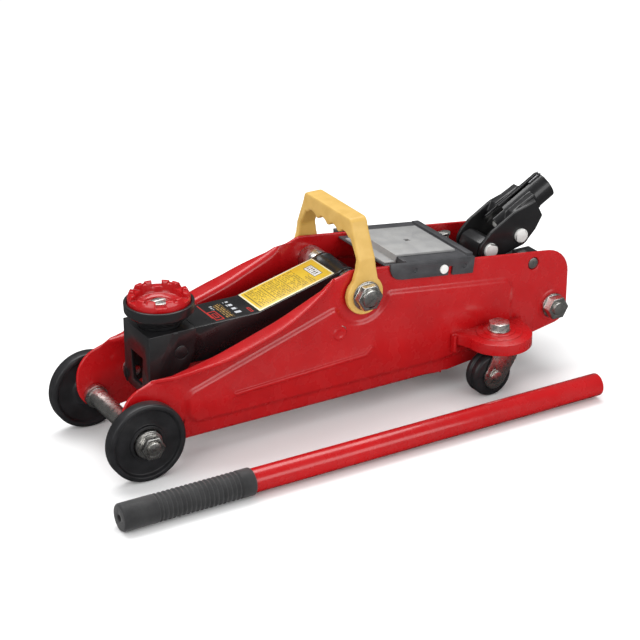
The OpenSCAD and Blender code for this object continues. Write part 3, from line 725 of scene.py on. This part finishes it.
def skin_out(piece):
    """Turns a whole open skin so that its largest face looks outwards."""
    bpy.ops.object.mode_set(mode="OBJECT")
    widest = max(piece.data.polygons, key=lambda f: f.area)
    if widest.normal.dot(OUTWARD) < 0:
        only(piece)
        bpy.ops.object.mode_set(mode="EDIT")
        bpy.ops.mesh.select_all(action="SELECT")
        bpy.ops.mesh.flip_normals()
        bpy.ops.object.mode_set(mode="OBJECT")


def island(points, profile):
    """Draws a shape, fills it and presses it out."""
    draw(points)
    face_out()
    press(profile)


def in_sheet(line, y):
    """The points of a flat (x, z) line, set at one depth."""
    return [(x, y, z) for x, z in line]


# %% [markdown]
# The flat land between the islands has holes and winding edges, and one face cannot have a
# hole. A triangulation that keeps every ring edge fills it, and the triangles that lie
# inside an island or outside the plate are left out again.

# %% Land between the rings
ON_LEVEL, SLIVER, RIM_WELD = 0.01, 0.01, 0.00002


def infill(piece, y):
    """Fills the flat land between all the open rings at one depth with triangles."""
    bpy.ops.object.mode_set(mode="OBJECT")
    mesh = piece.data
    spots = [drawn(v.co) for v in mesh.vertices]
    shared = {}
    for face in mesh.polygons:
        for key in face.edge_keys:
            shared[key] = shared.get(key, 0) + 1
    rim = [e.key for e in mesh.edges if shared.get(e.key, 0) < 2
           and all(abs(spots[i].y - y) < ON_LEVEL for i in e.key)]
    order = sorted({i for key in rim for i in key})
    flat = [Vector((spots[i].x, spots[i].z)) for i in order]
    lines = [(order.index(a), order.index(b)) for a, b in rim]
    corners, _, faces = delaunay_2d_cdt(flat, lines, [], 2, 1e-5)[:3]

    def crossings(p):
        """How many ring edges lie straight above a point; an odd number means on the land."""
        pairs = [(flat[i], flat[j]) for i, j in lines]
        return sum((a.x > p.x) != (b.x > p.x)
                   and a.y + (b.y - a.y) * (p.x - a.x) / (b.x - a.x) > p.y for a, b in pairs)

    kept = []
    for face in faces:
        a, b, c = (corners[i] for i in face)
        sliver = abs((b - a).cross(c - a)) < SLIVER
        if sliver or crossings((a + b + c) / 3) % 2:
            kept.append(face)
    land = bpy.data.meshes.new("land")
    land.from_pydata([at(c.x, y, c.y) for c in corners], [], kept)
    patch = bpy.data.objects.new("land", land)
    bpy.context.scene.collection.objects.link(patch)
    only(piece)
    patch.select_set(True)
    bpy.ops.object.join()
    bpy.ops.object.mode_set(mode="EDIT")
    bpy.ops.mesh.select_all(action="SELECT")
    bpy.ops.mesh.remove_doubles(threshold=RIM_WELD)


# %% Sketch the skin, with room left below the turned edges
skin = blank()
island(in_sheet(spread(rounded(PANEL), 12), OUT), swell(6, RAISED, 8))
bpy.ops.mesh.delete(type="ONLY_FACE")
island(in_sheet(BEAD, OUT - RAISED), swell(1.8, 1.5, 4))
island(in_sheet(circle_of(DIMPLE, DIMPLE_EDGE, 32), OUT - RAISED),
       [*swell(1.1, 1.1, 3), (1.6, 0), *swell(1.1, -0.5, 3)])
island(in_sheet(circle_of(TIE, TIE_LAND, 36), OUT), swell(2.6, 0.8, 4))
outer = []
for x, z in OUTLINE:
    if CREST[0][0] < x < CREST[-1][0] and z > 60:
        z = bend_top(x)
    elif LIP[0][0] < x < LIP[-1][0] and z < 30:
        z += LIP_BEND * lip_share(x)
    outer.append((x, OUT, z))
draw(in_sheet(circle_of(BOLT, BOLT_HOLE, 28), OUT))
draw(outer)
print("outline drawn with", len(outer), "points")

# %% [markdown]
# A press folds the rim over a rounded tool. Here the rim's edges are extruded a few times,
# and each new row is set a little further round a quarter circle, and then straight on.


# %% Turn the top edge out in a crescent and the bottom edge in
def crest(x, share):
    """Where a rim point goes on its way round the bend and out to the crescent's edge."""
    depth, reach = crest_share(x), between(CREST, x)
    bend, top = CREST_BEND * depth, top_of(x) - THICK * depth
    t = math.pi / 2 * min(1, share)
    out = bend * (1 - math.cos(t)) + max(0, share - 1) * (reach - bend)
    return x, OUT - out, top - bend * (1 - math.sin(t))


def lip(x, share):
    """The same for the bottom edge, which turns in under the jack."""
    depth = lip_share(x)
    bend, foot = LIP_BEND * depth, foot_of(x)
    t = math.pi / 2 * min(1, share)
    reach = bend * (1 - math.cos(t)) + max(0, share - 1) * (between(LIP, x) - bend)
    return x, OUT + reach, foot + bend * (1 - math.sin(t))


def along(table, p):
    """Whether a point lies in the flat sheet, over the reach of a table."""
    return table[0][0] - 0.5 < p.x < table[-1][0] + 0.5 and abs(p.y - OUT) < ON_LEVEL


def on_crest_rim(p):
    return along(CREST, p) and p.z > bend_top(p.x) - RIM_SLACK


def on_lip_rim(p):
    return along(LIP, p) and p.z < foot_of(p.x) + LIP_BEND * lip_share(p.x) + RIM_SLACK


RIM_SLACK, BEND_ROWS, ROW_WELD = 0.05, (0.25, 0.5, 0.75, 1, 1.5, 2), 0.00003
for on_rim, way in ((on_crest_rim, crest), (on_lip_rim, lip)):
    pick_edges(on_rim)
    for share in BEND_ROWS:
        bpy.ops.mesh.extrude_edges_move()
        place_picked(lambda x: way(x, share))
bpy.ops.mesh.select_all(action="SELECT")
bpy.ops.mesh.remove_doubles(threshold=ROW_WELD)
infill(skin, OUT)
infill(skin, OUT - RAISED)
bpy.ops.mesh.select_all(action="SELECT")
bpy.ops.mesh.normals_make_consistent(inside=False)
skin_out(skin)
print("plate skin has", len(skin.data.polygons), "faces")

# %% [markdown]
# Solidify sets the sheet's inner side behind the drawn one. Its cut edges are then rounded,
# but the pressed ridges are not cut edges, so those inside the panel are left out.

# %% Give the skin its thickness, round the cut edges and make the other side
CUT_ANGLE, CUT_ROUND = 55, 0.9
PRESSED_X, PRESSED_Z = (82, 225), (45, 93)
sheet = skin.modifiers.new("sheet", "SOLIDIFY")
sheet.thickness, sheet.offset, sheet.use_quality_normals = THICK * MM, -1, True
apply_all(skin)
bpy.ops.object.mode_set(mode="EDIT")
bpy.ops.mesh.select_mode(type="EDGE")
bpy.ops.mesh.select_all(action="DESELECT")
bpy.ops.mesh.edges_select_sharp(sharpness=math.radians(CUT_ANGLE))
bpy.ops.object.mode_set(mode="OBJECT")
for edge in skin.data.edges:
    ends = [drawn(skin.data.vertices[i].co) for i in edge.vertices]
    if all(PRESSED_X[0] < p.x < PRESSED_X[1] and PRESSED_Z[0] < p.z < PRESSED_Z[1]
           for p in ends):
        edge.select = False
bpy.ops.object.mode_set(mode="EDIT")
bpy.ops.mesh.bevel(offset=CUT_ROUND * MM, segments=3, affect="EDGES", clamp_overlap=False)
bpy.ops.object.mode_set(mode="OBJECT")
far_skin = mirrored(skin, "right_plate")
hand_over(skin, "left_plate_pressed", RED, "frame", ["left_side_plate"], 32)
hand_over(far_skin, "right_plate_pressed", RED, "frame", ["right_side_plate"], 32)

# %% [markdown]
# ## Carrying handle
# The bail is one soft moulding with no sharp edge on it. A bevel cannot follow its finger
# grooves, so its shape is rebuilt as an even skin of small faces, which is then relaxed so
# that every corner turns into a fillet.


# %% Soften the bail
def relaxed(node, voxel, rounds):
    """A copy of a node in an even skin of small faces, smoothed so many times."""
    piece = copy_of(node)
    skin_over = piece.modifiers.new("even_skin", "REMESH")
    skin_over.mode, skin_over.voxel_size = "VOXEL", voxel * MM
    relax = piece.modifiers.new("relax", "SMOOTH")
    relax.factor, relax.iterations = 0.5, rounds
    return piece


hand_over(relaxed("carry_handle", 0.9, 14), "bail_moulding", YELLOW, "carrying_handle",
          ["carry_handle"], 60)

# %% [markdown]
# ## Handle socket
# The socket's tube runs into its two cheeks with no line between them. A finer skin and
# fewer rounds keep the tube's thin open seam while the joins are softened.

# %% Soften the handle socket
hand_over(relaxed("handle_socket", 0.6, 6), "socket_forging", BLACK, "socket_assembly",
          ["handle_socket"], 60)

# %% [markdown]
# ## Parts that only need softer edges
# Real parts are never as sharp as a drawing. A merged copy of each plain part gets its
# edges rounded by a few tenths of a millimetre, which is what catches the light. The arm's
# long folded faces keep their triangles, because joining them up would tear them. The
# springs are not in the list: they stay as packed, with a wire finish.

# %% Rounded copies
EASED = {"front_axle": 0.8, "axle_spacers": 0.6, "axle_washers": 0.7, "axle_nuts": 0.6,
         "left_front_wheel": 1, "right_front_wheel": 1, "lift_pivot_shaft": 0.8,
         "pivot_spacers": 0.7, "pivot_nuts": 0.6,
         "left_caster_ear": 0.5, "right_caster_ear": 0.5, "caster_bolts": 0.3,
         "left_caster_race": 0.5, "right_caster_race": 0.5, "left_caster_yoke": 0.3,
         "right_caster_yoke": 0.3, "left_caster_axle": 0.5, "right_caster_axle": 0.5,
         "left_caster_wheel": 0.8, "right_caster_wheel": 0.8, "rear_tie_rod": 0.6,
         "rear_nuts": 0.5,
         "side_bolts": 0.5, "lift_arm": 0.25, "bracket_pin": 0.8, "saddle_bracket": 0.5,
         "bracket_studs": 0.6, "saddle_holder": 0.6, "saddle": 0.5, "saddle_screw": 0.5,
         "link_rods": 0.8, "link_studs": 0.6, "crank_pin": 0.5, "ram_head": 0.3, "ram": 0.6,
         "ram_cylinder": 0.8, "reservoir": 0.8, "pump_block": 0.8, "pump_piston": 0.5,
         "release_valve": 0.4, "release_lever": 0.4, "pump_roller": 0.5, "filler_plug": 0.4,
         "socket_latch": 0.3, "socket_pin": 0.8, "roller_pin": 0.6, "cover_tray": 0.6,
         "cover_panel": 0.5, "cover_screws": 0.4, "arm_label": 0.3, "handle_tube": 0.8,
         "handle_grip": 0.5, "handle_detent": 0.3}
for node, width in EASED.items():
    soft = copy_of(node, node != "lift_arm")
    ease(soft, width)
    finish = ARM_BLACK if node == "lift_arm" else PAINT[SLOT_OF[node]]
    hand_over(soft, node + "_eased", finish, BODY_OF[node], [node])
